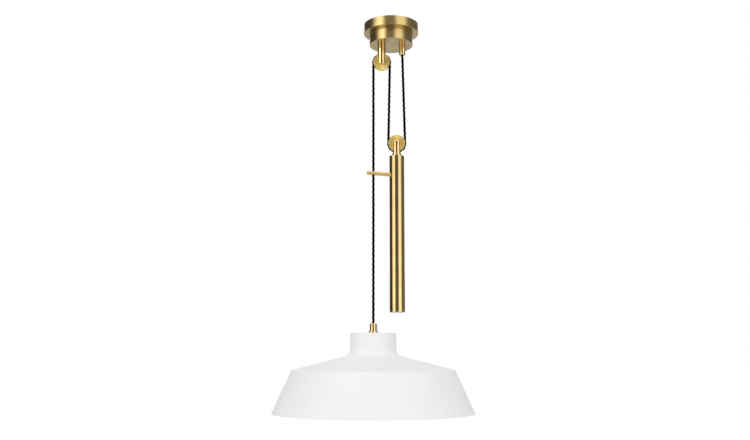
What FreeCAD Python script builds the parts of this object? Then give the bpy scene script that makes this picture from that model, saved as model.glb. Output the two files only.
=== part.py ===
import FreeCAD, Part
import math
import os

# A rise and fall pendant: a white two-cone shade that hangs from a twisted flex, balanced by a
# brass counterweight in a two-to-one tackle. Millimetres, +Z up. The origin is the middle of the
# ceiling rose, on the ceiling. The two sheaves and all the flex lie in the XZ plane, and the
# usual view is along +Y.

V = FreeCAD.Vector
X_AXIS, Y_AXIS, Z_AXIS = V(1, 0, 0), V(0, 1, 0), V(0, 0, 1)

# ---- Sizes: fits ----
RUN = 0.05  # radial clearance of a running bore
SIDE = 0.3  # clearance beside a turning sheave
FLEX_GAP = 0.3  # between the flex and a groove

# ---- Sizes: flex and sheaves ----
FLEX_R = 2.7  # round the three twisted cores
PITCH_R = 18.0  # the flex's centreline on a sheave
SHEAVE_R = 18.4
SHEAVE_T = 8.0
BUSH_R = 4.0
BUSH_OVER = 0.3  # how much wider a bush is than its sheave
PIN_R = 2.2
PIN_PROUD = 0.35  # how far a pin stands out of its fork
SLOT_OVER = 1.6  # free height of a fork's slot past the flex

# ---- Sizes: ceiling rose ----
ROSE_UPPER_R = 60.0
ROSE_UPPER_H = 20.0
ROSE_LOWER_R = 47.5
ROSE_LOWER_H = 26.0
ROSE_WALL = 1.5
ROSE_FLOOR = 3.0  # floor of the lower tier, which carries the load
ROSE_EDGE = 0.8  # rounding of the turned edges
SEAT_W = 11.5  # width of the seat, from the lower tier's face to the opening
SEAT_H = 6.0  # ring in the lower tier that takes the joint screws
JOINT_SCREW_R = 1.5
JOINT_SCREW_IN = 6.0  # from the lower tier's face to a joint screw
JOINT_HEAD_R = 2.8
JOINT_HEAD_H = 1.8
JOINT_SCREWS = 3

# ---- Sizes: bracket on the ceiling ----
STRAP_W = 16.0
STRAP_T = 2.0
EAR_GAP = 1.0  # from an ear to the upper tier's wall
EAR_H = 14.0
SLOT_SPACING = 66.0
SLOT_LENGTH = 14.0
SLOT_R = 2.5
SIDE_SCREW_R = 2.0
SIDE_SCREW_L = 6.0
SIDE_SCREW_Z = -9.0
SIDE_SCREW_SINK = 0.3  # below the rose's face
SCREW_SHORT = 0.2  # from a screw's end to the ceiling
BLOCK_X = -5.0
BLOCK_SIZE = (26.0, 15.0, 11.0)
BLOCK_HEAD_R = 2.6
BLOCK_HEAD_H = 2.0
BLOCK_SINK = 1.0  # of each screw in the block's underside
POLE_PITCH = 8.0
POLE_OUT = 4.6  # a clamp screw's distance from the block's middle line
POLE_SCREW_R = 1.6
POLE_SCREW_L = 4.0
ENTRY_GAP = 0.2  # round a core in its entry
WIRE_ENTRY_H = 6.5
EARTH_X = 18.0
EARTH_HEAD_R = 3.6
EARTH_HEAD_H = 2.5

# ---- Sizes: upper sheave's fork and the rose's gland ----
UPPER_X = -21.0
UPPER_Z = -84.5
FORK_R = 9.0
FORK_PAST_PIN = 4.8
FORK_EDGE = 1.5
SPIGOT_R = 5.0
SPIGOT_L = 11.0
NUT_AF = 14.0
NUT_H = 4.0
WASHER_R = 8.5
WASHER_H = 1.0
GLAND_X = 24.5
GLAND_R = 7.0
GLAND_L = 22.5
GLAND_MOUTH = 6.0  # solid end that the flex meets
GLAND_ROUND = 2.2
GLAND_GAP = 0.4  # round the flex in a gland
GRUB_R = 1.5
GRUB_SINK = 0.4  # below the gland's face
ROSE_GRUB_UP = 12.0  # from the gland's mouth

# ---- Sizes: lower sheave's fork and the counterweight ----
LOWER_X = 11.5
LOWER_Z = -267.5
STEM_R = 9.0
STEM_PAST_PIN = 7.0
STEM_TOP_ROUND = 3.5
STEM_COLLAR_R = 10.2
STEM_COLLAR_H = 6.0
STEM_COLLAR_ROUND = 1.0
WEIGHT_TOP = -296.0
WEIGHT_L = 335.0
WEIGHT_R = 16.2
WEIGHT_WALL = 1.5
WEIGHT_CAP_H = 8.0
WEIGHT_EDGE = 0.8
BALLAST_GAP = 0.1
BALLAST_BORE_R = 9.0  # sets the balance
PACKING_H = 2.0
PACKING_GAP = 0.5
WEIGHT_SPIGOT_R = 4.0

# ---- Sizes: guide arm ----
ARM_Z = -333.0  # at the flex
ARM_R = 4.6
ARM_RISE = 4.5  # degrees that it climbs towards the flex
ARM_PAST_FLEX = 13.6
ARM_ROOT = 9.5  # its inner end's distance from the weight's axis
ARM_EDGE = 0.8
EYE_GAP = 0.5  # round the flex in the arm's eye
EYE_FLARE = 0.8

# ---- Sizes: shade ----
SHADE_X = UPPER_X - PITCH_R
SHADE_TOP = -674.0
SHADE_T = 1.2
NECK_R = 48.0
NECK_H = 45.0
NECK_EDGE = 2.0
NECK_FILLET = 15.0
SHOULDER_R = 169.0
SHOULDER_H = 76.0
SHOULDER_EDGE = 2.0
RIM_R = 209.0
SHADE_H = 163.0
PLATE_R = 24.0
PLATE_T = 2.0

# ---- Sizes: gland on the shade, nipple and lampholder ----
SHADE_GLAND_R = 7.5
SHADE_GLAND_H = 15.7
SHADE_BASE_R = 9.7
SHADE_BASE_H = 4.3
SHADE_GLAND_ROUND = 1.5
SHADE_BASE_ROUND = 0.8
SHADE_GRUB_UP = 11.5  # from the shade's top
NIPPLE_R = 5.0
NIPPLE_BORE = 3.4
NIPPLE_UP = 9.0
NIPPLE_DOWN = 20.0
HOLDER_DROP = 14.0  # from the shade's top to the holder's top
HOLDER_R = 20.5
HOLDER_NECK_R = 11.0
HOLDER_CAP_H = 22.0
HOLDER_WALL = 2.0
HOLDER_CROWN = 7.0  # thickness round the nipple
HOLDER_DOME_H = 11.0
HOLDER_BENDS = (1.0, 3.0, 2.0)  # at the crown, outside and inside of the dome
SKIRT_H = 36.0
SKIRT_TAPER = 2.5
SKIRT_STRAIGHT = 14.0  # above the taper
SKIRT_EDGE = 1.2
INSERT_H = 9.0
SCREW_SHELL_R = 13.3  # inside of the lamp's screw shell
SCREW_SHELL_T = 0.5
SCREW_SHELL_H = 24.0
CONTACT_R = 4.0
CONTACT_H = 2.5  # pressed in flush, as a lamp leaves it
CORE_R = 1.2  # one insulated core inside
CORE_OFF = 0.4  # from the middle of the three to each core's side
CORE_BEND = 4.0
CORE_SUNK = 5.5  # in the insert
WIRE_RISE = 13.0  # above the rose's gland
WIRE_LEAD = 9.0  # straight in front of an entry
WIRE_IN = 2.5  # inside it
WIRE_FAN = (8.0, 4.0)  # below the holder's top and above the insert, where the cores spread
CONTACT_PCR = 7.0
CONTACT_TURNS = (30, 150, 270)

# ---- Places worked out from the sizes ----
STRAP_SPAN = 2 * (ROSE_UPPER_R - ROSE_WALL - EAR_GAP)
SEAT_R = ROSE_LOWER_R - SEAT_W
JOINT_SCREW_PCR = ROSE_LOWER_R - JOINT_SCREW_IN
CORE_SPREAD = CORE_R + CORE_OFF
BUSH_T = SHEAVE_T + BUSH_OVER
ROSE_STEP = -ROSE_UPPER_H
ROSE_FACE = ROSE_STEP - ROSE_LOWER_H
SLOT_W = SHEAVE_T + 2 * SIDE
FLEX_OUT = PITCH_R + FLEX_R + SLOT_OVER  # slot crown's distance from a sheave's axis
WEIGHT_BOTTOM = WEIGHT_TOP - WEIGHT_L
SHADE_UNDER = SHADE_TOP - SHADE_T - PLATE_T
GLAND_END = ROSE_FACE - GLAND_L
SHADE_GLAND_END = SHADE_TOP + SHADE_BASE_H + SHADE_GLAND_H

# The flex's route, as corners (x, z) of the XZ plane chosen by hand. Each half turn round a sheave
# has four corners, and the arcs at them have nearly the pitch radius.
DROP_ROUTE = [
    (-39.0, -654.0),
    (-39.0, -77.04),
    (-28.46, -66.5),
    (-13.54, -66.5),
    (-2.85, -77.19),
    (-3.0, -84.8),
]
LOOP_ROUTE = [
    (-3.0, -84.8),
    (-6.65, -274.8),
    (4.04, -285.5),
    (18.96, -285.5),
    (29.7, -274.76),
    (24.5, -68.6),
]
BEND_R = 17.6

os.makedirs("parts", exist_ok=True)


def save(node, *solids):
    """Write one sub-part. Identical pieces share a file as separate solids."""
    shape = solids[0] if len(solids) == 1 else Part.makeCompound(list(solids))
    if not shape.isValid():
        raise ValueError(node + " is not valid")
    shape.exportStep("parts/" + node + ".step")


def rod(radius, start, end):
    """A round bar between two points."""
    return Part.makeCylinder(radius, (end - start).Length, start, end - start)


def upright(radius, x, low, high, y=0.0):
    """A vertical round bar."""
    return rod(radius, V(x, y, low), V(x, y, high))


def sleeve(outer, inner, x, low, high):
    """A vertical tube."""
    return upright(outer, x, low, high).cut(upright(inner, x, low, high))


def block(x, y, z):
    """A box from three (low, high) pairs."""
    return Part.makeBox(x[1] - x[0], y[1] - y[0], z[1] - z[0], V(x[0], y[0], z[0]))


def hexagon(across_flats, x, low, high):
    """A vertical hexagonal prism."""
    corner = across_flats / math.sqrt(3)
    angles = [math.radians(60 * k) for k in range(7)]
    ring = [V(x + corner * math.cos(a), corner * math.sin(a), low) for a in angles]
    return Part.Face(Part.makePolygon(ring)).extrude(V(0, 0, high - low))


def rounded_edges(points, radii, closed=False):
    """Edges along points, with an arc of each given radius at the corner it stands for."""
    count = len(points)
    starts, ends, edges = [], [], []
    for k, point in enumerate(points):
        if radii[k] <= 0 or (not closed and k in (0, count - 1)):
            starts.append(point)
            ends.append(point)
            continue
        back = (points[k - 1] - point).normalize()
        on = (points[(k + 1) % count] - point).normalize()
        half = back.getAngle(on) / 2
        reach = radii[k] / math.tan(half)
        first, last = point + back * reach, point + on * reach
        centre_way = (back + on).normalize()
        middle = point + centre_way * (radii[k] / math.sin(half) - radii[k])
        starts.append(first)
        ends.append(last)
        edges.append((k, Part.Arc(first, middle, last).toShape()))
    arcs = dict(edges)
    path = []
    for k in range(count):
        if k in arcs:
            path.append(arcs[k])
        if k < count - 1 or closed:
            path.append(Part.LineSegment(ends[k], starts[(k + 1) % count]).toShape())
    return path


def turned(profile, x, radii=None):
    """A solid turned about the vertical line at x from a closed outline of (radius, z)."""
    points = [V(x + r, 0, z) for r, z in profile]
    edges = rounded_edges(points, radii or [0] * len(points), closed=True)
    return Part.Face(Part.Wire(edges)).revolve(V(x, 0, 0), Z_AXIS, 360)


def pipe(points, radii, radius):
    """A round bar along points, bent at the corners."""
    path = Part.Wire(rounded_edges(points, radii))
    ring = Part.Wire(Part.Circle(points[0], points[1] - points[0], radius).toShape())
    return path.makePipeShell([ring], True, False)


def around(angle):
    """A unit vector in the XY plane, in degrees from +X."""
    a = math.radians(angle)
    return V(math.cos(a), math.sin(a), 0)


def chamfered_bar(radius, edge, start, end):
    """A round bar with a bevel at its far end."""
    way = (end - start).normalize()
    bevel = Part.makeCone(radius, radius - edge, edge, end - way * edge, way)
    return rod(radius, start, end - way * edge).fuse(bevel).removeSplitter()


# ---- Ceiling bracket ----


def strap_slot(x):
    """The cut of one slotted screw hole in the strap, along X."""
    reach = SLOT_LENGTH / 2 - SLOT_R
    low, high = -STRAP_T - 1, 1
    ends = [upright(SLOT_R, x + way * reach, low, high) for way in (-1, 1)]
    middle = block((x - reach, x + reach), (-SLOT_R, SLOT_R), (low, high))
    return middle.fuse(ends)


def ceiling_bracket():
    """Steel strap that screws to the ceiling, with a turned-down ear at each end."""
    half = STRAP_SPAN / 2
    width = (-STRAP_W / 2, STRAP_W / 2)
    bracket = block((-half, half), width, (-STRAP_T, 0))
    for way in (-1, 1):
        ear = sorted((way * half, way * (half - STRAP_T)))
        bracket = bracket.fuse(block(ear, width, (-EAR_H, 0)))
        bracket = bracket.cut(strap_slot(way * SLOT_SPACING / 2))
        bracket = bracket.cut(side_screw(way))
    bracket = bracket.cut(upright(JOINT_SCREW_R, BLOCK_X, -STRAP_T, 0))
    bracket = bracket.cut(upright(SIDE_SCREW_R, EARTH_X, -STRAP_T, 0))
    return bracket.removeSplitter()


def side_screw(way):
    """Headless screw through the side of the rose into an ear."""
    outer = ROSE_UPPER_R - SIDE_SCREW_SINK
    return rod(
        SIDE_SCREW_R,
        V(way * (outer - SIDE_SCREW_L), 0, SIDE_SCREW_Z),
        V(way * outer, 0, SIDE_SCREW_Z),
    )


def pan_screw(shank_r, head_r, head_h, x, seat, top):
    """A screw whose head is under seat and whose shank reaches up to top."""
    head = upright(head_r, x, seat - head_h, seat)
    return head.fuse(upright(shank_r, x, seat, top)).removeSplitter()


def terminal_block():
    """Three-pole block under the strap, with an entry at each end of each pole."""
    length, depth, height = BLOCK_SIZE
    low = -STRAP_T - height
    body = block(
        (BLOCK_X - length / 2, BLOCK_X + length / 2),
        (-depth / 2, depth / 2),
        (low, -STRAP_T),
    )
    body = body.cut(upright(JOINT_SCREW_R, BLOCK_X, low, -STRAP_T))
    body = body.cut(upright(BLOCK_HEAD_R, BLOCK_X, low, low + BLOCK_SINK + BLOCK_HEAD_H))
    for x, y in pole_places():
        body = body.cut(upright(POLE_SCREW_R, x, low, low + BLOCK_SINK + POLE_SCREW_L, y))
        entry = low + WIRE_ENTRY_H
        wall = math.copysign(depth / 2, y)
        body = body.cut(rod(CORE_R + ENTRY_GAP, V(x, y, entry), V(x, wall, entry)))
    return body


def pole_places():
    """Where the six clamp screws of the block stand; the middle pole's flank its own screw."""
    return [
        (BLOCK_X + k * POLE_PITCH, side * POLE_OUT) for k in (-1, 0, 1) for side in (-1, 1)
    ]


def terminal_screws():
    """The clamp screws, sunk into the block."""
    low = -STRAP_T - BLOCK_SIZE[2] + BLOCK_SINK
    return [upright(POLE_SCREW_R, x, low, low + POLE_SCREW_L, y) for x, y in pole_places()]


# ---- Ceiling rose ----


def joint_screw_places():
    """Centres of the screws that hold the tiers together."""
    turns = [90 + 360 * k / JOINT_SCREWS for k in range(JOINT_SCREWS)]
    return [around(turn) * JOINT_SCREW_PCR for turn in turns]


def joint_screws():
    """Screws from inside the upper tier down into the lower one."""
    seat = ROSE_STEP + ROSE_WALL
    return [
        upright(JOINT_HEAD_R, p.x, seat, seat + JOINT_HEAD_H, p.y).fuse(
            upright(JOINT_SCREW_R, p.x, ROSE_STEP - SEAT_H, seat, p.y)
        )
        for p in joint_screw_places()
    ]


def rose_upper_tier():
    """Shallow turned cup, open to the ceiling."""
    inner = ROSE_UPPER_R - ROSE_WALL
    floor = ROSE_STEP + ROSE_WALL
    outline = [
        (SEAT_R, ROSE_STEP),
        (ROSE_UPPER_R, ROSE_STEP),
        (ROSE_UPPER_R, 0),
        (inner, 0),
        (inner, floor),
        (SEAT_R, floor),
    ]
    cup = turned(outline, 0, [0, ROSE_EDGE, 0, 0, 0, 0])
    for screw in joint_screws():
        cup = cup.cut(screw)
    return cup.cut(side_screw(-1)).cut(side_screw(1))


def rose_lower_tier():
    """Deeper turned cup that carries the fork and the gland."""
    inner = ROSE_LOWER_R - ROSE_WALL
    floor = ROSE_FACE + ROSE_FLOOR
    outline = [
        (0, ROSE_FACE),
        (ROSE_LOWER_R, ROSE_FACE),
        (ROSE_LOWER_R, ROSE_STEP),
        (SEAT_R, ROSE_STEP),
        (SEAT_R, ROSE_STEP - SEAT_H),
        (inner, ROSE_STEP - SEAT_H),
        (inner, floor),
        (0, floor),
    ]
    cup = turned(outline, 0, [0, ROSE_EDGE, 0, 0, 0, 0, 0, 0])
    for screw in joint_screws():
        cup = cup.cut(screw)
    for x in (UPPER_X, GLAND_X):
        cup = cup.cut(upright(SPIGOT_R, x, ROSE_FACE, floor))
    return cup


def fixing_nut(x):
    """Nut inside the rose, on a washer."""
    low = ROSE_FACE + ROSE_FLOOR + WASHER_H
    return hexagon(NUT_AF, x, low, low + NUT_H).cut(
        upright(SPIGOT_R, x, low, low + NUT_H)
    )


def fixing_washer(x):
    """Washer on the rose's floor."""
    floor = ROSE_FACE + ROSE_FLOOR
    return sleeve(WASHER_R, SPIGOT_R, x, floor, floor + WASHER_H)


# ---- Sheaves ----


def sheave(x, z):
    """Grooved wheel, bored for its bush."""
    groove_r = SHEAVE_R - (PITCH_R - FLEX_R - FLEX_GAP)
    half = SHEAVE_T / 2
    points = [V(x + BUSH_R, -half, z), V(x + SHEAVE_R, -half, z)]
    lip, root = V(x + SHEAVE_R, -groove_r, z), V(x + SHEAVE_R - groove_r, 0, z)
    edges = [
        Part.LineSegment(points[0], points[1]).toShape(),
        Part.LineSegment(points[1], lip).toShape(),
        Part.Arc(lip, root, V(x + SHEAVE_R, groove_r, z)).toShape(),
        Part.LineSegment(V(x + SHEAVE_R, groove_r, z), V(x + SHEAVE_R, half, z)).toShape(),
        Part.LineSegment(V(x + SHEAVE_R, half, z), V(x + BUSH_R, half, z)).toShape(),
        Part.LineSegment(V(x + BUSH_R, half, z), points[0]).toShape(),
    ]
    return Part.Face(Part.Wire(edges)).revolve(V(x, 0, z), Y_AXIS, 360)


def cross_bar(radius, length, x, z):
    """A round bar along Y, centred on the sheave's plane."""
    return rod(radius, V(x, -length / 2, z), V(x, length / 2, z))


def bush(x, z):
    """Plain bush in a sheave, a little wider than it."""
    return cross_bar(BUSH_R, BUSH_T, x, z).cut(cross_bar(PIN_R + RUN, BUSH_T, x, z))


def pin(fork_r, x, z):
    """Fixed pin through both cheeks of a fork."""
    return cross_bar(PIN_R, 2 * (fork_r + PIN_PROUD), x, z)


def slot_cut(fork_r, x, low, high):
    """The cut that parts a fork's cheeks."""
    wide = 2 * fork_r
    return block((x - wide, x + wide), (-SLOT_W / 2, SLOT_W / 2), (low, high))


def upper_fork():
    """Slotted bar under the rose that holds the upper sheave, with a threaded spigot."""
    end = UPPER_Z - FORK_PAST_PIN
    outline = [(0, end), (FORK_R, end), (FORK_R, ROSE_FACE), (0, ROSE_FACE)]
    fork = turned(outline, UPPER_X, [0, FORK_EDGE, 0, 0])
    fork = fork.fuse(upright(SPIGOT_R, UPPER_X, ROSE_FACE, ROSE_FACE + SPIGOT_L))
    fork = fork.cut(slot_cut(FORK_R, UPPER_X, end - 1, UPPER_Z + FLEX_OUT))
    return fork.cut(pin(FORK_R, UPPER_X, UPPER_Z))


def rose_gland():
    """Cord grip under the rose. The flex meets its rounded mouth."""
    outline = [(0, GLAND_END), (GLAND_R, GLAND_END), (GLAND_R, ROSE_FACE), (0, ROSE_FACE)]
    gland = turned(outline, GLAND_X, [0, GLAND_ROUND, 0, 0])
    gland = gland.fuse(upright(SPIGOT_R, GLAND_X, ROSE_FACE, ROSE_FACE + SPIGOT_L))
    bore = upright(
        FLEX_R + GLAND_GAP, GLAND_X, GLAND_END + GLAND_MOUTH, ROSE_FACE + SPIGOT_L
    )
    return gland.cut(bore).cut(gland_grub(GLAND_X, GLAND_R, GLAND_END + ROSE_GRUB_UP))


def gland_grub(x, gland_r, z):
    """Grub screw in the back of a gland, a little below its face."""
    return rod(GRUB_R, V(x, FLEX_R, z), V(x, gland_r - GRUB_SINK, z))


# ---- Counterweight ----


def lower_fork():
    """Slotted stem on top of the weight that holds the lower sheave."""
    end = LOWER_Z + STEM_PAST_PIN
    collar = WEIGHT_TOP + STEM_COLLAR_H
    outline = [
        (0, WEIGHT_TOP),
        (STEM_COLLAR_R, WEIGHT_TOP),
        (STEM_COLLAR_R, collar),
        (STEM_R, collar),
        (STEM_R, end),
        (0, end),
    ]
    fork = turned(outline, LOWER_X, [0, 0, STEM_COLLAR_ROUND, 0, STEM_TOP_ROUND, 0])
    fork = fork.fuse(
        upright(WEIGHT_SPIGOT_R, LOWER_X, WEIGHT_TOP - WEIGHT_CAP_H, WEIGHT_TOP)
    )
    fork = fork.cut(slot_cut(STEM_COLLAR_R, LOWER_X, LOWER_Z - FLEX_OUT, end + 1))
    return fork.cut(pin(STEM_R, LOWER_X, LOWER_Z))


def arm_way():
    """Direction of the guide arm, out of the weight."""
    rise = math.radians(ARM_RISE)
    return V(-math.cos(rise), 0, math.sin(rise))


def arm_point(x):
    """The point of the arm's axis at x."""
    at_flex = V(SHADE_X, 0, ARM_Z)
    way = arm_way()
    return at_flex + way * ((x - SHADE_X) / way.x)


def arm_bar():
    """The arm before its eye is drilled."""
    root, tip = arm_point(LOWER_X - ARM_ROOT), arm_point(SHADE_X - ARM_PAST_FLEX)
    return chamfered_bar(ARM_R, ARM_EDGE, root, tip)


def guide_arm():
    """Bar out of the weight with an eye that the drop's flex runs through."""
    eye_r = FLEX_R + EYE_GAP
    low, high = ARM_Z - 2 * ARM_R, ARM_Z + 2 * ARM_R
    arm = arm_bar().cut(upright(eye_r, SHADE_X, low, high))
    depth = math.sqrt(ARM_R**2 - eye_r**2)
    for way in (-1, 1):
        mouth = V(SHADE_X, 0, ARM_Z + way * depth)
        flare = Part.makeCone(eye_r, eye_r + EYE_FLARE, EYE_FLARE, mouth, Z_AXIS * way)
        arm = arm.cut(flare)
    return arm


def weight_tube():
    """Long brass tube, open at both ends, with the arm's hole in its side."""
    inner = WEIGHT_R - WEIGHT_WALL
    outline = [
        (inner, WEIGHT_BOTTOM),
        (WEIGHT_R, WEIGHT_BOTTOM),
        (WEIGHT_R, WEIGHT_TOP),
        (inner, WEIGHT_TOP),
    ]
    tube = turned(outline, LOWER_X, [0, WEIGHT_EDGE, WEIGHT_EDGE, 0])
    return tube.cut(arm_bar())


def weight_cap(top):
    """Screwed plug that is flush with an end of the tube."""
    return upright(WEIGHT_R - WEIGHT_WALL, LOWER_X, top - WEIGHT_CAP_H, top)


def ballast():
    """Bored steel bar that fills the tube."""
    low = WEIGHT_BOTTOM + WEIGHT_CAP_H
    high = WEIGHT_TOP - WEIGHT_CAP_H - PACKING_H
    outer = WEIGHT_R - WEIGHT_WALL - BALLAST_GAP
    return sleeve(outer, BALLAST_BORE_R, LOWER_X, low, high).cut(arm_bar())


def packing():
    """Soft washer that keeps the ballast from rattling."""
    high = WEIGHT_TOP - WEIGHT_CAP_H
    return upright(WEIGHT_R - WEIGHT_WALL - PACKING_GAP, LOWER_X, high - PACKING_H, high)


# ---- Shade ----


def shade_outline(thickness):
    """Corners and bend radii of the shade's face, moved in by a thickness."""
    corners = [
        (NIPPLE_R, 0),
        (NECK_R, 0),
        (NECK_R, -NECK_H),
        (SHOULDER_R, -SHOULDER_H),
        (RIM_R, -SHADE_H),
    ]
    moved = []
    for k, corner in enumerate(corners):
        lines = [
            offset_line(corners[j], corners[j + 1], thickness)
            for j in (k - 1, k)
            if 0 <= j < len(corners) - 1
        ]
        moved.append(crossing(*lines) if len(lines) == 2 else lines[0][k > 0])
    moved[0] = (NIPPLE_R, -thickness)
    moved[-1] = crossing(moved[-2:], [(0, -SHADE_H), (1, -SHADE_H)])
    bends = [0, NECK_EDGE - thickness, NECK_FILLET + thickness, SHOULDER_EDGE - thickness, 0]
    return [(r, SHADE_TOP + z) for r, z in moved], bends


def offset_line(start, end, distance):
    """A line of the outline, moved to its inner side."""
    dr, dz = end[0] - start[0], end[1] - start[1]
    length = math.hypot(dr, dz)
    move = (dz / length * distance, -dr / length * distance)
    return [(p[0] + move[0], p[1] + move[1]) for p in (start, end)]


def crossing(first, second):
    """Where two lines of the outline meet."""
    (ax, ay), (bx, by) = first
    (cx, cy), (dx, dy) = second
    ux, uy, vx, vy = bx - ax, by - ay, dx - cx, dy - cy
    t = ((cx - ax) * vy - (cy - ay) * vx) / (ux * vy - uy * vx)
    return ax + ux * t, ay + uy * t


def shade():
    """Spun shell: a flat-topped neck flared into a shallow cone, and a steep cone below it."""
    outer, outer_bends = shade_outline(0)
    inner, inner_bends = shade_outline(SHADE_T)
    outline = outer + inner[::-1]
    return turned(outline, SHADE_X, outer_bends + inner_bends[::-1])


def shade_gland():
    """Cord grip on the shade: a flanged base and a rounded barrel."""
    outline = [
        (0, SHADE_TOP),
        (SHADE_BASE_R, SHADE_TOP),
        (SHADE_BASE_R, SHADE_TOP + SHADE_BASE_H),
        (SHADE_GLAND_R, SHADE_TOP + SHADE_BASE_H),
        (SHADE_GLAND_R, SHADE_GLAND_END),
        (0, SHADE_GLAND_END),
    ]
    gland = turned(outline, SHADE_X, [0, 0, SHADE_BASE_ROUND, 0, SHADE_GLAND_ROUND, 0])
    gland = gland.cut(upright(NIPPLE_R, SHADE_X, SHADE_TOP, SHADE_TOP + NIPPLE_UP))
    bore_top = SHADE_GLAND_END - GLAND_MOUTH
    gland = gland.cut(upright(NIPPLE_BORE, SHADE_X, SHADE_TOP, bore_top))
    return gland.cut(gland_grub(SHADE_X, SHADE_GLAND_R, SHADE_TOP + SHADE_GRUB_UP))


def nipple():
    """Threaded tube that clamps gland, shade, plate and lampholder together."""
    low, high = SHADE_TOP - NIPPLE_DOWN, SHADE_TOP + NIPPLE_UP
    return sleeve(NIPPLE_R, NIPPLE_BORE, SHADE_X, low, high)


def strengthening_plate():
    """Steel disc under the top of the shade."""
    return sleeve(PLATE_R, NIPPLE_R, SHADE_X, SHADE_UNDER, SHADE_TOP - SHADE_T)


def nipple_nut():
    """Nut under the plate."""
    low = SHADE_UNDER - NUT_H
    return hexagon(NUT_AF, SHADE_X, low, SHADE_UNDER).cut(
        upright(NIPPLE_R, SHADE_X, low, SHADE_UNDER)
    )


# ---- Lampholder ----

HOLDER_TOP = SHADE_TOP - HOLDER_DROP
SKIRT_TOP = HOLDER_TOP - HOLDER_CAP_H
HOLDER_MOUTH = SKIRT_TOP - SKIRT_H


def lampholder_cap():
    """Domed top half of the holder, threaded on the nipple."""
    inner = HOLDER_R - HOLDER_WALL
    ceiling = HOLDER_TOP - HOLDER_CROWN
    crown_bend, outer_bend, inner_bend = HOLDER_BENDS
    outline = [
        (NIPPLE_R, HOLDER_TOP),
        (HOLDER_NECK_R, HOLDER_TOP),
        (HOLDER_R, HOLDER_TOP - HOLDER_DOME_H),
        (HOLDER_R, SKIRT_TOP),
        (inner, SKIRT_TOP),
        (inner, HOLDER_TOP - HOLDER_DOME_H - HOLDER_WALL),
        (HOLDER_NECK_R, ceiling),
        (NIPPLE_R, ceiling),
    ]
    return turned(outline, SHADE_X, [0, crown_bend, outer_bend, 0, 0, inner_bend, 0, 0])


def lampholder_skirt():
    """Lower half of the holder round the lamp's cap."""
    inner = SCREW_SHELL_R + SCREW_SHELL_T
    low, high = HOLDER_MOUTH, SKIRT_TOP
    outline = [
        (inner, low),
        (HOLDER_R - SKIRT_TAPER, low),
        (HOLDER_R, high - SKIRT_STRAIGHT),
        (HOLDER_R, high),
        (HOLDER_R - HOLDER_WALL, high),
        (HOLDER_R - HOLDER_WALL, high - INSERT_H),
        (inner, high - INSERT_H),
    ]
    return turned(outline, SHADE_X, [0, SKIRT_EDGE, 0, 0, 0, 0, 0])


def lampholder_insert():
    """Ceramic disc that carries the contacts."""
    low = SKIRT_TOP - INSERT_H
    disc = upright(HOLDER_R - HOLDER_WALL, SHADE_X, low, SKIRT_TOP).cut(centre_contact())
    for turn in CONTACT_TURNS:
        at = V(SHADE_X, 0, 0) + around(turn) * CONTACT_PCR
        disc = disc.cut(upright(CORE_R, at.x, SKIRT_TOP - CORE_SUNK, SKIRT_TOP, at.y))
    return disc


def screw_shell():
    """Threaded brass shell that the lamp screws into."""
    high = SKIRT_TOP - INSERT_H
    outer = SCREW_SHELL_R + SCREW_SHELL_T
    return sleeve(outer, SCREW_SHELL_R, SHADE_X, high - SCREW_SHELL_H, high)


def centre_contact():
    """Sprung contact in a pocket in the middle of the insert."""
    low = SKIRT_TOP - INSERT_H
    return upright(CONTACT_R, SHADE_X, low, low + CONTACT_H)


# ---- Wires inside ----


def rose_wires():
    """Three cores that rise out of the gland and bend into the block's entries."""
    depth = BLOCK_SIZE[1] / 2
    entry_z = -STRAP_T - BLOCK_SIZE[2] + WIRE_ENTRY_H
    foot_z = ROSE_FACE + SPIGOT_L
    wires = []
    for k, side, turn in ((-1, -1, 210), (0, 1, 90), (1, -1, 330)):
        pole = BLOCK_X + k * POLE_PITCH
        foot = V(GLAND_X, 0, foot_z) + around(turn) * CORE_SPREAD
        points = [
            foot,
            foot + V(0, 0, WIRE_RISE),
            V(pole, side * (depth + WIRE_LEAD), entry_z),
            V(pole, side * (depth - WIRE_IN), entry_z),
        ]
        wires.append(pipe(points, [0, CORE_BEND, CORE_BEND, 0], CORE_R))
    return wires


def shade_wires():
    """Three cores from the shade's gland through the nipple to the holder's insert."""
    top = SHADE_GLAND_END - GLAND_MOUTH
    centre = V(SHADE_X, 0, 0)
    wires = []
    for turn in CONTACT_TURNS:
        near, far = centre + around(turn) * CORE_SPREAD, centre + around(turn) * CONTACT_PCR
        points = [
            near + V(0, 0, top),
            near + V(0, 0, HOLDER_TOP - WIRE_FAN[0]),
            far + V(0, 0, SKIRT_TOP + WIRE_FAN[1]),
            far + V(0, 0, SKIRT_TOP - CORE_SUNK),
        ]
        wires.append(pipe(points, [0, CORE_BEND, CORE_BEND, 0], CORE_R))
    return wires


# ---- Flex ----


def flex(name, route):
    """One stretch of the taut flex, as a plain tube, with its length and bends printed."""
    points = [V(x, 0, z) for x, z in route]
    radii = [BEND_R] * len(points)
    path = Part.Wire(rounded_edges(points, radii))
    tube = pipe(points, radii, FLEX_R)
    drift = tube.Volume / (math.pi * FLEX_R**2 * path.Length) - 1
    print(name, "length", round(path.Length, 1), "bend radius", BEND_R, "drift", round(drift, 5))
    return tube


# ---- Assembly ----


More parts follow.
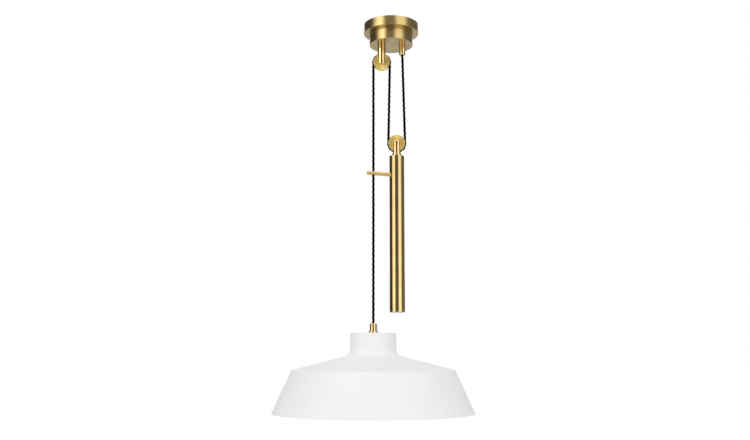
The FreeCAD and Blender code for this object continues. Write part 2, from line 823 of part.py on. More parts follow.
def ceiling_parts():
    """What stays on the ceiling."""
    head_low = -STRAP_T - BLOCK_SIZE[2] + BLOCK_SINK
    head_high = head_low + BLOCK_HEAD_H
    save("ceiling_bracket", ceiling_bracket())
    save("rose_upper_tier", rose_upper_tier())
    save("rose_lower_tier", rose_lower_tier())
    save("rose_joint_screws", *joint_screws())
    save("rose_side_screws", side_screw(-1), side_screw(1))
    save("terminal_block", terminal_block())
    save("terminal_screws", *terminal_screws())
    fixing = upright(BLOCK_HEAD_R, BLOCK_X, head_low, head_high)
    fixing = fixing.fuse(upright(JOINT_SCREW_R, BLOCK_X, head_high, -SCREW_SHORT))
    save("terminal_fixing_screw", fixing.removeSplitter())
    earth = pan_screw(SIDE_SCREW_R, EARTH_HEAD_R, EARTH_HEAD_H, EARTH_X, -STRAP_T, -SCREW_SHORT)
    save("earth_screw", earth)
    save("rose_wires", *rose_wires())
    save("upper_fork", upper_fork())
    save("rose_gland", rose_gland())
    save("rose_gland_grub", gland_grub(GLAND_X, GLAND_R, GLAND_END + ROSE_GRUB_UP))
    for name, x in (("upper_fork", UPPER_X), ("rose_gland", GLAND_X)):
        save(name + "_washer", fixing_washer(x))
        save(name + "_nut", fixing_nut(x))
    save("upper_axle_pin", pin(FORK_R, UPPER_X, UPPER_Z))
    save("flex_drop", flex("flex_drop", DROP_ROUTE))
    save("flex_loop", flex("flex_loop", LOOP_ROUTE))


def sheave_parts():
    """The two sheaves and their bushes."""
    for name, x, z in (("upper", UPPER_X, UPPER_Z), ("lower", LOWER_X, LOWER_Z)):
        save(name + "_sheave", sheave(x, z))
        save(name + "_bush", bush(x, z))


def weight_parts():
    """The counterweight with its fork and arm."""
    spigot = upright(WEIGHT_SPIGOT_R, LOWER_X, WEIGHT_TOP - WEIGHT_CAP_H, WEIGHT_TOP)
    save("weight_tube", weight_tube())
    save("weight_top_plug", weight_cap(WEIGHT_TOP).cut(spigot))
    save("weight_bottom_plug", weight_cap(WEIGHT_BOTTOM + WEIGHT_CAP_H))
    save("weight_ballast", ballast())
    save("weight_packing", packing())
    save("lower_fork", lower_fork())
    save("lower_axle_pin", pin(STEM_R, LOWER_X, LOWER_Z))
    save("guide_arm", guide_arm())


def shade_parts():
    """The shade, the gland that hangs it and the lampholder inside."""
    save("shade", shade())
    save("shade_gland", shade_gland())
    save("shade_gland_grub", gland_grub(SHADE_X, SHADE_GLAND_R, SHADE_TOP + SHADE_GRUB_UP))
    save("nipple", nipple())
    save("strengthening_plate", strengthening_plate())
    save("nipple_nut", nipple_nut())
    save("lampholder_cap", lampholder_cap())
    save("lampholder_skirt", lampholder_skirt())
    save("lampholder_insert", lampholder_insert())
    save("screw_shell", screw_shell())
    save("centre_contact", centre_contact())
    save("shade_wires", *shade_wires())


ceiling_parts()
sheave_parts()
weight_parts()
shade_parts()
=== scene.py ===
import bpy, math
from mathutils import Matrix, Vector


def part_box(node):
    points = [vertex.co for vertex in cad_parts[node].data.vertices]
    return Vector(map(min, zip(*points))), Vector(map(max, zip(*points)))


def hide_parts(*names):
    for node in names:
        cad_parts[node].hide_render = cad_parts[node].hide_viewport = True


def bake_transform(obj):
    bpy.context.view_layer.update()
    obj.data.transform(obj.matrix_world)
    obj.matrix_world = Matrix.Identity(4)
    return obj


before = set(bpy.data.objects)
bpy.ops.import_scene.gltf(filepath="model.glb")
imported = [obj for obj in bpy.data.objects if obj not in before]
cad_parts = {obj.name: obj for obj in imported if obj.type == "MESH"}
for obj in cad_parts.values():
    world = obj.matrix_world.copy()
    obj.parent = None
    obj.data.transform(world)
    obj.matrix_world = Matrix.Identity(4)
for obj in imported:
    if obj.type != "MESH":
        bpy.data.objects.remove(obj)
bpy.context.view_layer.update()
bpy.context.scene.view_settings.view_transform = "Standard"

# ---- Camera ----
# A natural view from level with the shade's neck, tilted up so that the rose is seen from
# underneath and the shade almost from the side.
EYE = Vector((-0.0355, -1.79, -0.7184))
EYE_TILT_DEG = 9.0
FOCAL_PX = 850
PHOTO_WIDTH_PX = 750
SENSOR_MM = 36.0

camera_data = bpy.data.cameras.new("camera")
camera_data.sensor_width = SENSOR_MM
camera_data.lens = SENSOR_MM * FOCAL_PX / PHOTO_WIDTH_PX
camera_data.clip_start = 0.01
camera = bpy.data.objects.new("camera", camera_data)
camera.location = EYE
camera.rotation_euler = (math.radians(90 + EYE_TILT_DEG), 0, 0)
bpy.context.scene.collection.objects.link(camera)
bpy.context.scene.camera = camera

# ---- Twisted flex ----
# Three textile-covered cores, 2.7 mm thick, laid together with one turn in 33.5 mm. It hangs taut
# from the shade's gland over the upper sheave, then round the lower sheave to the rose's gland.
DROP_ROUTE = [  # x and z of control points
    (-0.0390, -0.6540),
    (-0.0390, -0.0920),
    (-0.0390, -0.07704),
    (-0.02846, -0.0665),
    (-0.01354, -0.0665),
    (-0.00285, -0.07719),
    (-0.0030, -0.0848),
]
LOOP_ROUTE = [
    (-0.0030, -0.0848),
    (-0.00637, -0.2600),
    (-0.00665, -0.2748),
    (0.00404, -0.2855),
    (0.01896, -0.2855),
    (0.0297, -0.27476),
    (0.02933, -0.2600),
    (0.0245, -0.0686),
]
LINE_STEPS = 64
CORE_R = 0.00136
CORE_OFFSET = CORE_R / math.sin(math.radians(60))  # so that the three cores touch
LAY = 0.0335
RING_STEP = 0.0014
CORE_SIDES = 12
YARN_BLACK = (0.005, 0.005, 0.0053, 1)
YARN_SHADOW = (0.0012, 0.0012, 0.0012, 1)
BRAID_YARNS = 8.0
BRAID_STRENGTH = 0.4
BRAID_RELIEF = 0.00012
YARN_HEIGHT = 0.5
FUZZ_PER_M = 2600.0
FUZZ_DETAIL = 4.0
FLEX_ROUGHNESS = 0.85
FLEX_SHEEN = 0.01
FLEX_SHEEN_ROUGHNESS = 0.5
MARKS_LOW, MARKS_HIGH = 0.3, 0.7  # nearly all of a noise lies between these


def node_tree(name):
    """A new material with its nodes and its shader."""
    material = bpy.data.materials.new(name)
    material.use_nodes = True
    return material, material.node_tree, material.node_tree.nodes["Principled BSDF"]


def wired(tree, kind, **values):
    """A node with its properties and its inputs set; a socket given as a value is linked."""
    node = tree.nodes.new(kind)
    for key, value in values.items():
        if hasattr(node, key) and not key.startswith("in_"):
            setattr(node, key, value)
            continue
        name = key[3:] if key.startswith("in_") else key
        socket = node.inputs[int(name)] if name.isdigit() else node.inputs[name.replace("_", " ")]
        if isinstance(value, bpy.types.NodeSocket):
            tree.links.new(value, socket)
        else:
            socket.default_value = value
    return node


def maths(tree, operation, a, b=0.0):
    """One number worked out from two."""
    return wired(tree, "ShaderNodeMath", operation=operation, in_0=a, in_1=b).outputs[0]


def new_group(name, inputs, outputs):
    """An empty node group with its named inputs and outputs."""
    group = bpy.data.node_groups.new(name, "ShaderNodeTree")
    for label, kind, value in inputs:
        socket = group.interface.new_socket(label, in_out="INPUT", socket_type=kind)
        socket.default_value = value
    for label, kind in outputs:
        group.interface.new_socket(label, in_out="OUTPUT", socket_type=kind)
    return group, group.nodes.new("NodeGroupInput"), group.nodes.new("NodeGroupOutput")


def place_group(tree, group, **values):
    """A node group put into a material, with its inputs set."""
    node = tree.nodes.new("ShaderNodeGroup")
    node.node_tree = group
    for key, value in values.items():
        node.inputs[key.replace("_", " ")].default_value = value
    return node


def two_tone(tree, shader, mask, deep, light, low=0.3, high=0.65):
    """Base colour that goes from deep to light as a mask does from low to high."""
    share = wired(tree, "ShaderNodeMapRange", in_0=mask, in_1=low, in_2=high)
    tone = wired(tree, "ShaderNodeMix", data_type="RGBA")
    tone.inputs["A"].default_value = deep
    tone.inputs["B"].default_value = light
    tree.links.new(share.outputs[0], tone.inputs["Factor"])
    tree.links.new(tone.outputs["Result"], shader.inputs["Base Color"])


def varied_roughness(tree, shader, height, roughness, spread):
    """Roughness that follows the marks in a face."""
    rough = wired(tree, "ShaderNodeMapRange", in_0=height, in_1=MARKS_LOW, in_2=MARKS_HIGH)
    rough.inputs[3].default_value = roughness - spread / 2
    rough.inputs[4].default_value = roughness + spread / 2
    tree.links.new(rough.outputs[0], shader.inputs["Roughness"])


def raised(tree, shader, height, strength, distance):
    """Relief that follows the marks in a face."""
    relief = wired(tree, "ShaderNodeBump", in_Strength=strength, in_Distance=distance)
    tree.links.new(height, relief.inputs["Height"])
    tree.links.new(relief.outputs["Normal"], shader.inputs["Normal"])


def route_points(name, route):
    """Points along the smooth line that has the route as its control points."""
    curve = bpy.data.curves.new(name + "_line", "CURVE")
    curve.dimensions = "3D"
    curve.resolution_u = LINE_STEPS
    spline = curve.splines.new("NURBS")
    spline.points.add(len(route) - 1)
    for point, (x, z) in zip(spline.points, route):
        point.co = (x, 0, z, 1)
    spline.order_u = 3
    spline.use_endpoint_u = True
    holder = bpy.data.objects.new(name + "_line", curve)
    line = bpy.data.meshes.new_from_object(holder)
    points = [v.co.copy() for v in line.vertices]
    bpy.data.objects.remove(holder)
    return points


def evenly(points, step):
    """Points, tangents and distances at an even step along a line of points."""
    lengths = [(b - a).length for a, b in zip(points, points[1:])]
    total = sum(lengths)
    count = max(2, round(total / step))
    stations, k, passed = [], 0, 0.0
    for n in range(count + 1):
        want = total * n / count
        while k < len(lengths) - 1 and passed + lengths[k] < want:
            passed += lengths[k]
            k += 1
        share = min(1.0, (want - passed) / lengths[k])
        stations.append((points[k].lerp(points[k + 1], share), want))
    result = []
    for n, (place, want) in enumerate(stations):
        before, after = stations[max(0, n - 1)][0], stations[min(count, n + 1)][0]
        result.append((place, (after - before).normalized(), want))
    return result


def twisted_mesh(name, points, joined_at):
    """Three cores twisted round a line. joined_at is the distance where the twist starts."""
    vertices, faces, around_share, along = [], [], [], []
    stations = evenly(points, RING_STEP)
    across = Vector((0, 1, 0))
    for core in range(3):
        first = len(vertices)
        for place, way, distance in stations:
            side = way.cross(across)
            turn = math.tau * (distance - joined_at) / LAY + math.tau * core / 3
            heart = place + (side * math.cos(turn) + across * math.sin(turn)) * CORE_OFFSET
            for k in range(CORE_SIDES):
                a = math.tau * k / CORE_SIDES + turn
                vertices.append(heart + (side * math.cos(a) + across * math.sin(a)) * CORE_R)
                around_share.append(k / CORE_SIDES)
                along.append(distance)
        for ring in range(len(stations) - 1):
            start = first + ring * CORE_SIDES
            for k in range(CORE_SIDES):
                a, b = start + k, start + (k + 1) % CORE_SIDES
                faces.append((a, b, b + CORE_SIDES, a + CORE_SIDES))
        last = len(vertices) - CORE_SIDES
        faces.append([first + k for k in reversed(range(CORE_SIDES))])
        faces.append([last + k for k in range(CORE_SIDES)])
    mesh = bpy.data.meshes.new(name)
    mesh.from_pydata(vertices, [], faces)
    weave = mesh.uv_layers.new(name="weave")
    for face in mesh.polygons:
        face.use_smooth = len(face.vertices) == 4
        shares = [around_share[v] for v in face.vertices]
        wraps = max(shares) - min(shares) > 0.5
        for loop, vertex in zip(face.loop_indices, face.vertices):
            share = around_share[vertex]
            share += 1.0 if wraps and share < 0.5 else 0.0
            weave.data[loop].uv = (share, along[vertex] / (math.tau * CORE_R))
    return mesh


def textile_braid():
    """Crossing yarns of a braided sleeve, as a height and a mask of painted shade between the
    raised yarns, from the weave UVs.
    """
    group, given, out = new_group(
        "textile_braid",
        [("Yarns", "NodeSocketFloat", BRAID_YARNS)],
        [("Height", "NodeSocketFloat"), ("Mask", "NodeSocketFloat")],
    )
    uv = wired(group, "ShaderNodeUVMap", uv_map="weave")
    split = wired(group, "ShaderNodeSeparateXYZ", in_0=uv.outputs[0])
    yarns = maths(group, "MULTIPLY", given.outputs["Yarns"], math.tau)
    leans = []
    for way in ("ADD", "SUBTRACT"):
        slant = maths(group, way, split.outputs[0], split.outputs[1])
        leans.append(maths(group, "SINE", maths(group, "MULTIPLY", slant, yarns)))
    crossed = maths(group, "MULTIPLY", leans[0], leans[1])
    fuzz = wired(group, "ShaderNodeTexNoise", in_Scale=FUZZ_PER_M, in_Detail=FUZZ_DETAIL)
    coords = wired(group, "ShaderNodeTexCoord")
    group.links.new(coords.outputs["Object"], fuzz.inputs["Vector"])
    yarn_height = maths(group, "MULTIPLY", crossed, YARN_HEIGHT)
    height = maths(group, "ADD", yarn_height, fuzz.outputs["Fac"])
    group.links.new(height, out.inputs["Height"])
    # The mask is highest on the raised yarns and 0 between them, where painted shade falls.
    group.links.new(maths(group, "MAXIMUM", crossed, 0.0), out.inputs["Mask"])
    return group


flex_cloth, tree, shader = node_tree("flex_cloth")
braid = place_group(tree, textile_braid(), Yarns=BRAID_YARNS)
# Painted shade: YARN_SHADOW darkens the cord between the raised yarns; YARN_BLACK is the cord's own
# black.
two_tone(tree, shader, braid.outputs["Mask"], YARN_SHADOW, YARN_BLACK, low=0.0, high=1.0)
raised(tree, shader, braid.outputs["Height"], BRAID_STRENGTH, BRAID_RELIEF)
shader.inputs["Roughness"].default_value = FLEX_ROUGHNESS
shader.inputs["Specular IOR Level"].default_value = 0.0
shader.inputs["Sheen Weight"].default_value = FLEX_SHEEN
shader.inputs["Sheen Roughness"].default_value = FLEX_SHEEN_ROUGHNESS


def add_flex(name, node, route, joined_at_end):
    """One stretch of the flex, in place of its plain CAD tube."""
    points = route_points(name, route)
    length = sum((b - a).length for a, b in zip(points, points[1:]))
    joined_at = length if joined_at_end else 0.0
    mesh = twisted_mesh(name, points, joined_at)
    mesh.materials.append(flex_cloth)
    piece = bpy.data.objects.new(name, mesh)
    bpy.context.scene.collection.objects.link(piece)
    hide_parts(node)
    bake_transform(piece)


add_flex("flex_to_shade", "flex_drop", DROP_ROUTE, True)
add_flex("flex_to_weight", "flex_loop", LOOP_ROUTE, False)

# ---- Studio ----
# A pale floor well below the lamp, white air all round, two soft boxes in front and one above.
# Dark cards and lit silks that only gloss sees stripe the polished metal, as in a cloth tent.
FLOOR_Z = -1.45
FLOOR_R = 6.0
FLOOR_PALE_R = 1.1
FLOOR_WHITE_R = 3.0
WALL_R = 2.6
WALL_HALF_H = 1.8
WALL_STEP_DEG = 2
CLOTH_TONES = [  # degrees from +X, tone; blended between: card, silk, card, silk, card
    (118, 0.07),
    (188, 0.07),
    (202, 1.5),
    (232, 1.5),
    (246, 0.12),
    (284, 0.12),
    (296, 1.5),
    (326, 1.5),
    (342, 0.18),
    (422, 0.18),
]
BACK_TONES = [(62, 0.55), (118, 0.55)]
BACK_SHEET_TOP = -0.35
WHITE = (1.0, 1.0, 1.0, 1)
AIR_ON_OBJECT = 0.65
FLOOR_PAINT = (0.86, 0.86, 0.86, 1)
FLOOR_ROUGHNESS = 0.9
FLOOR_SIDES = 64
LAMP_MIDDLE = Vector((0, 0, -0.45))
SOFT_BOXES = [  # name, place, size in m, power in W
    ("box_left", (-1.9, -1.9, 0.3), 1.2, 16),
    ("box_right", (2.1, -1.7, -0.1), 1.2, 10.5),
    ("box_above", (0.2, -1.2, 1.5), 1.6, 9),
]


def sees_white(tree):
    """1 for the rays that find plain white all round: from the camera, off gloss, through glass."""
    rays = wired(tree, "ShaderNodeLightPath")
    seen = maths(tree, "MAXIMUM", rays.outputs["Is Camera Ray"], rays.outputs["Is Glossy Ray"])
    return maths(tree, "MAXIMUM", seen, rays.outputs["Is Transmission Ray"])


world = bpy.data.worlds.new("white_air")
world.use_nodes = True
bpy.context.scene.world = world
air = world.node_tree
backdrop = air.nodes["Background"]
air_strength = wired(
    air, "ShaderNodeMapRange", in_0=sees_white(air), in_3=AIR_ON_OBJECT, in_4=1.0
)
backdrop.inputs["Color"].default_value = WHITE
air.links.new(air_strength.outputs[0], backdrop.inputs["Strength"])

cloth, tree, shader = node_tree("cloth")
tree.nodes.remove(shader)
tone = wired(tree, "ShaderNodeAttribute", attribute_name="tone")
glow = wired(tree, "ShaderNodeEmission", in_Color=WHITE, in_Strength=tone.outputs["Fac"])
tree.links.new(glow.outputs[0], tree.nodes["Material Output"].inputs["Surface"])


def hang_wall(name, tones, high=WALL_HALF_H):
    """A wall on an arc round the lamp that only gloss sees, its tone blended along the arc."""
    points, strengths = [], []
    for degree in range(tones[0][0], tones[-1][0] + 1, WALL_STEP_DEG):
        (a, tone_a), (b, tone_b) = next(p for p in zip(tones, tones[1:]) if degree <= p[1][0])
        way = math.radians(degree)
        x, y = WALL_R * math.cos(way), WALL_R * math.sin(way)
        points += [(x, y, -WALL_HALF_H), (x, y, high)]
        strengths += [tone_a + (tone_b - tone_a) * (degree - a) / (b - a)] * 2
    mesh = bpy.data.meshes.new(name)
    mesh.from_pydata(points, [], [(k, k + 2, k + 3, k + 1) for k in range(0, len(points) - 2, 2)])
    mesh.attributes.new("tone", "FLOAT", "POINT").data.foreach_set("value", strengths)
    mesh.materials.append(cloth)
    wall = bpy.data.objects.new(name, mesh)
    bpy.context.scene.collection.objects.link(wall)
    wall.visible_camera = wall.visible_diffuse = wall.visible_shadow = False
    wall.visible_transmission = False


hang_wall("cloth_front", CLOTH_TONES)
hang_wall("sheet_back", BACK_TONES, BACK_SHEET_TOP)

floor_mesh = bpy.data.meshes.new("floor")
ring = [math.tau * k / FLOOR_SIDES for k in range(FLOOR_SIDES)]
floor_edge = [(FLOOR_R * math.cos(a), FLOOR_R * math.sin(a), FLOOR_Z) for a in ring]
floor_mesh.from_pydata(floor_edge, [], [list(range(FLOOR_SIDES))])
floor = bpy.data.objects.new("floor", floor_mesh)
bpy.context.scene.collection.objects.link(floor)
floor_paint, tree, shader = node_tree("floor_paint")
shader.inputs["Base Color"].default_value = FLOOR_PAINT
shader.inputs["Roughness"].default_value = FLOOR_ROUGHNESS
place = wired(tree, "ShaderNodeTexCoord")
flat = wired(tree, "ShaderNodeVectorMath", operation="MULTIPLY", in_1=(1, 1, 0))
tree.links.new(place.outputs["Object"], flat.inputs[0])
away = wired(tree, "ShaderNodeVectorMath", operation="LENGTH")
tree.links.new(flat.outputs["Vector"], away.inputs[0])
fade = wired(
    tree, "ShaderNodeMapRange", in_0=away.outputs["Value"], in_1=FLOOR_PALE_R, in_2=FLOOR_WHITE_R
)
seen = sees_white(tree)
white_glow = wired(tree, "ShaderNodeEmission", in_Color=WHITE)
blend = wired(tree, "ShaderNodeMixShader", in_0=maths(tree, "MULTIPLY", fade.outputs[0], seen))
tree.links.new(shader.outputs[0], blend.inputs[1])
tree.links.new(white_glow.outputs[0], blend.inputs[2])
tree.links.new(blend.outputs[0], tree.nodes["Material Output"].inputs["Surface"])
floor_mesh.materials.append(floor_paint)

for name, place, size, power in SOFT_BOXES:
    lamp = bpy.data.lights.new(name, "AREA")
    lamp.size = size
    lamp.energy = power
    holder = bpy.data.objects.new(name, lamp)
    holder.location = place
    holder.rotation_euler = (LAMP_MIDDLE - Vector(place)).to_track_quat("-Z", "Y").to_euler()
    bpy.context.scene.collection.objects.link(holder)

# ---- Ceiling rose: two turned tiers ----
# Shallow brass cups, turned on a lathe and left with a satin lathe finish, so the light stands
# in upright bands and fine rings run round them. Screws inside hold the lower to the upper.
ROSE_BRASS = (0.57, 0.42, 0.17, 1)
ROSE_BRASS_DEEP = (0.49, 0.345, 0.135, 1)
ROSE_ROUGHNESS = 0.26
ROSE_LINES_PER_M = 450.0
ROSE_RELIEF = 0.00002
ROSE_LACQUER = 0.6
FULL_LACQUER = 1.0
LACQUER_ROUGHNESS = 0.2
FINE_LINES_PER_M = 2500.0
MARKS_DETAIL = 4.0
MARKS_STRENGTH = 0.5
CLOUDS_PER_M = 38.0
UPRIGHT = (0, 0, 0)


def finish(material, *names):
    """Give CAD nodes their material."""
    for name in names:
        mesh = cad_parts[name].data
        mesh.materials.clear()
        mesh.materials.append(material)


def middle(node):
    """The middle of a CAD node's box at rest."""
    return tuple((a + b) / 2 for a, b in zip(*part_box(node)))


def turned_marks():
    """Lathe lines round the Z axis of Place, as a height, and a cloudy tone."""
    group, given, out = new_group(
        "turned_marks",
        [
            ("Place", "NodeSocketVector", (0, 0, 0)),
            ("Lines per m", "NodeSocketFloat", FINE_LINES_PER_M),
        ],
        [("Height", "NodeSocketFloat"), ("Cloud", "NodeSocketFloat")],
    )
    place = given.outputs["Place"]
    split = wired(group, "ShaderNodeSeparateXYZ", in_0=place)
    flat = wired(group, "ShaderNodeVectorMath", operation="MULTIPLY", in_0=place, in_1=(1, 1, 0))
    radius = wired(group, "ShaderNodeVectorMath", operation="LENGTH", in_0=flat.outputs["Vector"])
    lines = wired(
        group,
        "ShaderNodeCombineXYZ",
        in_0=maths(group, "MULTIPLY", radius.outputs["Value"], given.outputs["Lines per m"]),
        in_2=maths(group, "MULTIPLY", split.outputs[2], given.outputs["Lines per m"]),
    )
    marks = wired(
        group,
        "ShaderNodeTexNoise",
        in_Vector=lines.outputs[0],
        in_Detail=MARKS_DETAIL,
        in_Scale=1.0,
    )
    cloud = wired(
        group,
        "ShaderNodeTexNoise",
        in_Vector=place,
        in_Scale=CLOUDS_PER_M,
        in_Detail=MARKS_DETAIL,
    )
    group.links.new(marks.outputs["Fac"], out.inputs["Height"])
    group.links.new(cloud.outputs["Fac"], out.inputs["Cloud"])
    return group


TURNED_MARKS = turned_marks()


def turned_metal(
    name,
    centre,
    light,
    deep,
    roughness,
    lines=FINE_LINES_PER_M,
    relief=0.00001,
    spread=0.06,
    tilt=UPRIGHT,
    lacquer=0.0,
):
    """A metal finish with lathe lines round an axis through a centre, tilted from the upright."""
    material, tree, shader = node_tree(name)
    coords = wired(tree, "ShaderNodeTexCoord").outputs["Object"]
    place = wired(tree, "ShaderNodeMapping", vector_type="TEXTURE", in_Vector=coords)
    place.inputs["Location"].default_value = centre
    place.inputs["Rotation"].default_value = tilt
    marks = place_group(tree, TURNED_MARKS, Lines_per_m=lines)
    tree.links.new(place.outputs[0], marks.inputs["Place"])
    two_tone(tree, shader, marks.outputs["Cloud"], deep, light)
    varied_roughness(tree, shader, marks.outputs["Height"], roughness, spread)
    raised(tree, shader, marks.outputs["Height"], MARKS_STRENGTH, relief)
    shader.inputs["Metallic"].default_value = 1.0
    shader.inputs["Coat Weight"].default_value = lacquer
    shader.inputs["Coat Roughness"].default_value = LACQUER_ROUGHNESS
    return material


rose_brass = turned_metal(
    "rose_brass",
    middle("rose_upper_tier"),
    ROSE_BRASS,
    ROSE_BRASS_DEEP,
    ROSE_ROUGHNESS,
    ROSE_LINES_PER_M,
    ROSE_RELIEF,
    lacquer=ROSE_LACQUER,
)
finish(rose_brass, "rose_upper_tier", "rose_lower_tier")

# ---- Bracket, fasteners, plates and ballast: zinc-plated steel ----
# The strap that screws to the ceiling, the fasteners inside the rose and the glands, the plate,
# nut and nipple under the shade's top, and the bar inside the weight. Barrel plated, so the
# tone is cloudy.
ZINC_LIGHT = (0.66, 0.67, 0.69, 1)
ZINC_DEEP = (0.42, 0.43, 0.46, 1)
ZINC_ROUGHNESS = 0.36
ZINC_LINES_PER_M = 900.0

zinc_steel = turned_metal(
    "zinc_steel",
    middle("ceiling_bracket"),
    ZINC_LIGHT,
    ZINC_DEEP,
    ZINC_ROUGHNESS,
    ZINC_LINES_PER_M,
)
finish(
    zinc_steel,
    "ceiling_bracket",
    "rose_joint_screws",
    "rose_side_screws",
    "terminal_screws",
    "terminal_fixing_screw",
    "earth_screw",
    "upper_fork_washer",
    "upper_fork_nut",
    "rose_gland_washer",
    "rose_gland_nut",
    "rose_gland_grub",
    "shade_gland_grub",
    "nipple",
    "strengthening_plate",
    "nipple_nut",
    "weight_ballast",
)

# ---- Forks, glands and guide arm: polished brass ----
# Turned and slotted from bar, then buffed and lacquered, so they mirror the room in sharp
# upright stripes. The arm, which reaches from the weight to the flex, is left duller.
BAR_BRASS = (0.80, 0.58, 0.25, 1)
BAR_BRASS_DEEP = (0.70, 0.48, 0.18, 1)
BAR_ROUGHNESS = 0.16
ARM_ROUGHNESS = 0.42
BAR_LINES_PER_M = 3500.0
BAR_RELIEF = 0.0000015
BAR_SPREAD = 0.03
ARM_RISE_DEG = 4.5
ARM_TILT = (0, -math.radians(90 - ARM_RISE_DEG), 0)

for nodes, tilt, roughness in (
    (("upper_fork", "upper_axle_pin"), UPRIGHT, BAR_ROUGHNESS),
    (("rose_gland",), UPRIGHT, BAR_ROUGHNESS),
    (("lower_fork", "lower_axle_pin"), UPRIGHT, BAR_ROUGHNESS),
    (("shade_gland",), UPRIGHT, BAR_ROUGHNESS),
    (("guide_arm",), ARM_TILT, ARM_ROUGHNESS),
):
    bar_brass = turned_metal(
        nodes[0] + "_brass",
        middle(nodes[0]),
        BAR_BRASS,
        BAR_BRASS_DEEP,
        roughness,
        BAR_LINES_PER_M,
        BAR_RELIEF,
        BAR_SPREAD,
        tilt,
        FULL_LACQUER,
    )
    finish(bar_brass, *nodes)

# ---- Counterweight ----
# A brass tube, drawn and linished along its length, with a plug in each end and a steel bar
# inside. Hairlines run upright, and the lacquered face mirrors the two silks as bright stripes.
WEIGHT_BRASS = (0.72, 0.53, 0.22, 1)
WEIGHT_BRASS_DEEP = (0.64, 0.45, 0.17, 1)
WEIGHT_ROUGHNESS = 0.12
WEIGHT_LACQUER_ROUGHNESS = 0.1
WEIGHT_CLOUDS_PER_M = 30.0
PLUG_ROUGHNESS = 0.25
HAIRLINES_PER_M = 1600.0
HAIRLINE_BREAKS_PER_M = 14.0
HAIRLINE_DETAIL = 3.0
HAIRLINE_SPREAD = 0.08
HAIRLINE_RELIEF = 0.0000012

hairline_brass, tree, shader = node_tree("hairline_brass")
place = wired(tree, "ShaderNodeTexCoord").outputs["Object"]
stretch = wired(tree, "ShaderNodeMapping", in_Vector=place)
hairline_scale = (HAIRLINES_PER_M, HAIRLINES_PER_M, HAIRLINE_BREAKS_PER_M)
stretch.inputs["Scale"].default_value = hairline_scale
hairs = wired(
    tree,
    "ShaderNodeTexNoise",
    in_Vector=stretch.outputs[0],
    in_Scale=1.0,
    in_Detail=HAIRLINE_DETAIL,
)
cloud = wired(tree, "ShaderNodeTexNoise", in_Vector=place, in_Scale=WEIGHT_CLOUDS_PER_M)
two_tone(tree, shader, cloud.outputs["Fac"], WEIGHT_BRASS_DEEP, WEIGHT_BRASS)
varied_roughness(tree, shader, hairs.outputs["Fac"], WEIGHT_ROUGHNESS, HAIRLINE_SPREAD)
raised(tree, shader, hairs.outputs["Fac"], MARKS_STRENGTH, HAIRLINE_RELIEF)
shader.inputs["Metallic"].default_value = 1.0
shader.inputs["Coat Weight"].default_value = FULL_LACQUER
shader.inputs["Coat Roughness"].default_value = WEIGHT_LACQUER_ROUGHNESS
finish(hairline_brass, "weight_tube")
plug_brass = turned_metal(
    "plug_brass",
    middle("weight_tube"),
    WEIGHT_BRASS,
    WEIGHT_BRASS_DEEP,
    PLUG_ROUGHNESS,
    lacquer=FULL_LACQUER,
)
finish(plug_brass, "weight_top_plug", "weight_bottom_plug")

# ---- Sheaves and bushes ----
# Grooved wheels turned from yellow brass, with rings of lathe marks on their flat faces round
# the axle. Each runs on a darker bronze bush.
SHEAVE_GOLD = (0.94, 0.71, 0.24, 1)
SHEAVE_GOLD_DEEP = (0.84, 0.59, 0.15, 1)
SHEAVE_RINGS_PER_M = 900.0
SHEAVE_ROUGHNESS = 0.42
SHEAVE_RELIEF = 0.000004
SHEAVE_SPREAD = 0.08
RING_PULL = 0.8
BRONZE = (0.50, 0.27, 0.11, 1)
BRONZE_DEEP = (0.36, 0.18, 0.07, 1)
BRONZE_ROUGHNESS = 0.35
AXLE_WAY = (math.pi / 2, 0, 0)

for end in ("upper", "lower"):
    for piece, light, deep, roughness, lacquer in (
        ("sheave", SHEAVE_GOLD, SHEAVE_GOLD_DEEP, SHEAVE_ROUGHNESS, FULL_LACQUER),
        ("bush", BRONZE, BRONZE_DEEP, BRONZE_ROUGHNESS, 0.0),
    ):
        node = end + "_" + piece
        faced_metal = turned_metal(
            node + "_metal",
            middle(node),
            light,
            deep,
            roughness,
            SHEAVE_RINGS_PER_M,
            SHEAVE_RELIEF,
            SHEAVE_SPREAD,
            AXLE_WAY,
            lacquer,
        )
        tree = faced_metal.node_tree
        shader = tree.nodes["Principled BSDF"]
        ring_way = wired(tree, "ShaderNodeTangent", direction_type="RADIAL", axis="Y")
        tree.links.new(ring_way.outputs[0], shader.inputs["Tangent"])
        shader.inputs["Anisotropic"].default_value = RING_PULL
        finish(faced_metal, node)

# ---- Shade ----
# Spun aluminium, powder coated matte white inside and out. The coat has a very fine even
# orange-peel, and it is a trace warmer where it lies thin.
SHADE_WHITE = (0.90, 0.90, 0.90, 1)
SHADE_WHITE_THIN = (0.88, 0.879, 0.876, 1)
POWDER_GRAIN_PER_M = 900.0
POWDER_PATCHES_PER_M = 9.0
POWDER_RELIEF = 0.00003
POWDER_ROUGHNESS = 0.62
SKIN_PATCHES_PER_M = 25.0
SKIN_SPREAD = 0.08
SKIN_STRENGTH = 0.4


def fine_skin():
    """A fine even grain, as a height, and slow patches, as a mask."""
    group, given, out = new_group(
        "fine_skin",
        [
            ("Grain per m", "NodeSocketFloat", POWDER_GRAIN_PER_M),
            ("Patches per m", "NodeSocketFloat", SKIN_PATCHES_PER_M),
        ],
        [("Height", "NodeSocketFloat"), ("Patch", "NodeSocketFloat")],
    )
    coords = wired(group, "ShaderNodeTexCoord")
    for given_name, out_name in (("Grain per m", "Height"), ("Patches per m", "Patch")):
        cells = wired(group, "ShaderNodeTexNoise", in_Vector=coords.outputs["Object"])
        group.links.new(given.outputs[given_name], cells.inputs["Scale"])
        group.links.new(cells.outputs["Fac"], out.inputs[out_name])
    return group


FINE_SKIN = fine_skin()


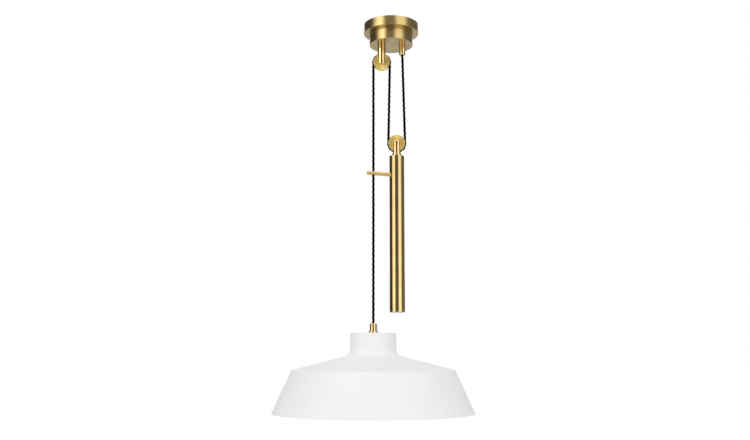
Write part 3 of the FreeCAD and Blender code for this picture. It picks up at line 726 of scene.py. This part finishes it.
def moulded(name, light, deep, roughness, grain_per_m, relief, patches_per_m=SKIN_PATCHES_PER_M):
    """A coat or a moulding: fine even grain in its face and a slow change of tone."""
    material, tree, shader = node_tree(name)
    skin = place_group(tree, FINE_SKIN, Grain_per_m=grain_per_m, Patches_per_m=patches_per_m)
    two_tone(tree, shader, skin.outputs["Patch"], deep, light)
    varied_roughness(tree, shader, skin.outputs["Height"], roughness, SKIN_SPREAD)
    raised(tree, shader, skin.outputs["Height"], SKIN_STRENGTH, relief)
    return material


powder_white = moulded(
    "powder_white",
    SHADE_WHITE,
    SHADE_WHITE_THIN,
    POWDER_ROUGHNESS,
    POWDER_GRAIN_PER_M,
    POWDER_RELIEF,
    POWDER_PATCHES_PER_M,
)
finish(powder_white, "shade")

# ---- Lampholder under the shade's top ----
# A black moulded cap and skirt on the nipple, a glazed ceramic insert with the contacts, and a
# pressed brass shell that takes the lamp.
PHENOLIC = (0.020, 0.019, 0.018, 1)
PHENOLIC_DEEP = (0.011, 0.011, 0.010, 1)
GLAZE = (0.78, 0.77, 0.72, 1)
GLAZE_DEEP = (0.70, 0.68, 0.62, 1)
SHELL_BRASS = (0.66, 0.46, 0.19, 1)
SHELL_BRASS_DEEP = (0.52, 0.33, 0.12, 1)

phenolic = moulded(
    "phenolic", PHENOLIC, PHENOLIC_DEEP, roughness=0.42, grain_per_m=700.0, relief=0.00004
)
finish(phenolic, "lampholder_cap", "lampholder_skirt")
glazed_ceramic = moulded(
    "glazed_ceramic", GLAZE, GLAZE_DEEP, roughness=0.22, grain_per_m=400.0, relief=0.00002
)
finish(glazed_ceramic, "lampholder_insert")
shell_brass = turned_metal(
    "shell_brass",
    middle("screw_shell"),
    SHELL_BRASS,
    SHELL_BRASS_DEEP,
    roughness=0.28,
    lines=280.0,
    relief=0.0003,
)
finish(shell_brass, "screw_shell", "centre_contact")

# ---- Wiring inside the rose and the holder, and the weight's packing ----
# A moulded nylon terminal block under the strap, and the flex's three cores in brown PVC.
# A rubber washer keeps the ballast from rattling in the weight.
NYLON = (0.80, 0.77, 0.66, 1)
NYLON_DEEP = (0.72, 0.68, 0.56, 1)
CORE_BROWN = (0.165, 0.070, 0.028, 1)
CORE_BROWN_DEEP = (0.125, 0.050, 0.020, 1)
RUBBER = (0.050, 0.050, 0.050, 1)
RUBBER_DEEP = (0.030, 0.030, 0.030, 1)

nylon = moulded("nylon", NYLON, NYLON_DEEP, roughness=0.45, grain_per_m=500.0, relief=0.00005)
finish(nylon, "terminal_block")
core_pvc = moulded(
    "core_pvc", CORE_BROWN, CORE_BROWN_DEEP, roughness=0.38, grain_per_m=900.0, relief=0.00002
)
finish(core_pvc, "rose_wires", "shade_wires")
rubber = moulded("rubber", RUBBER, RUBBER_DEEP, roughness=0.75, grain_per_m=1500.0, relief=0.00005)
finish(rubber, "weight_packing")
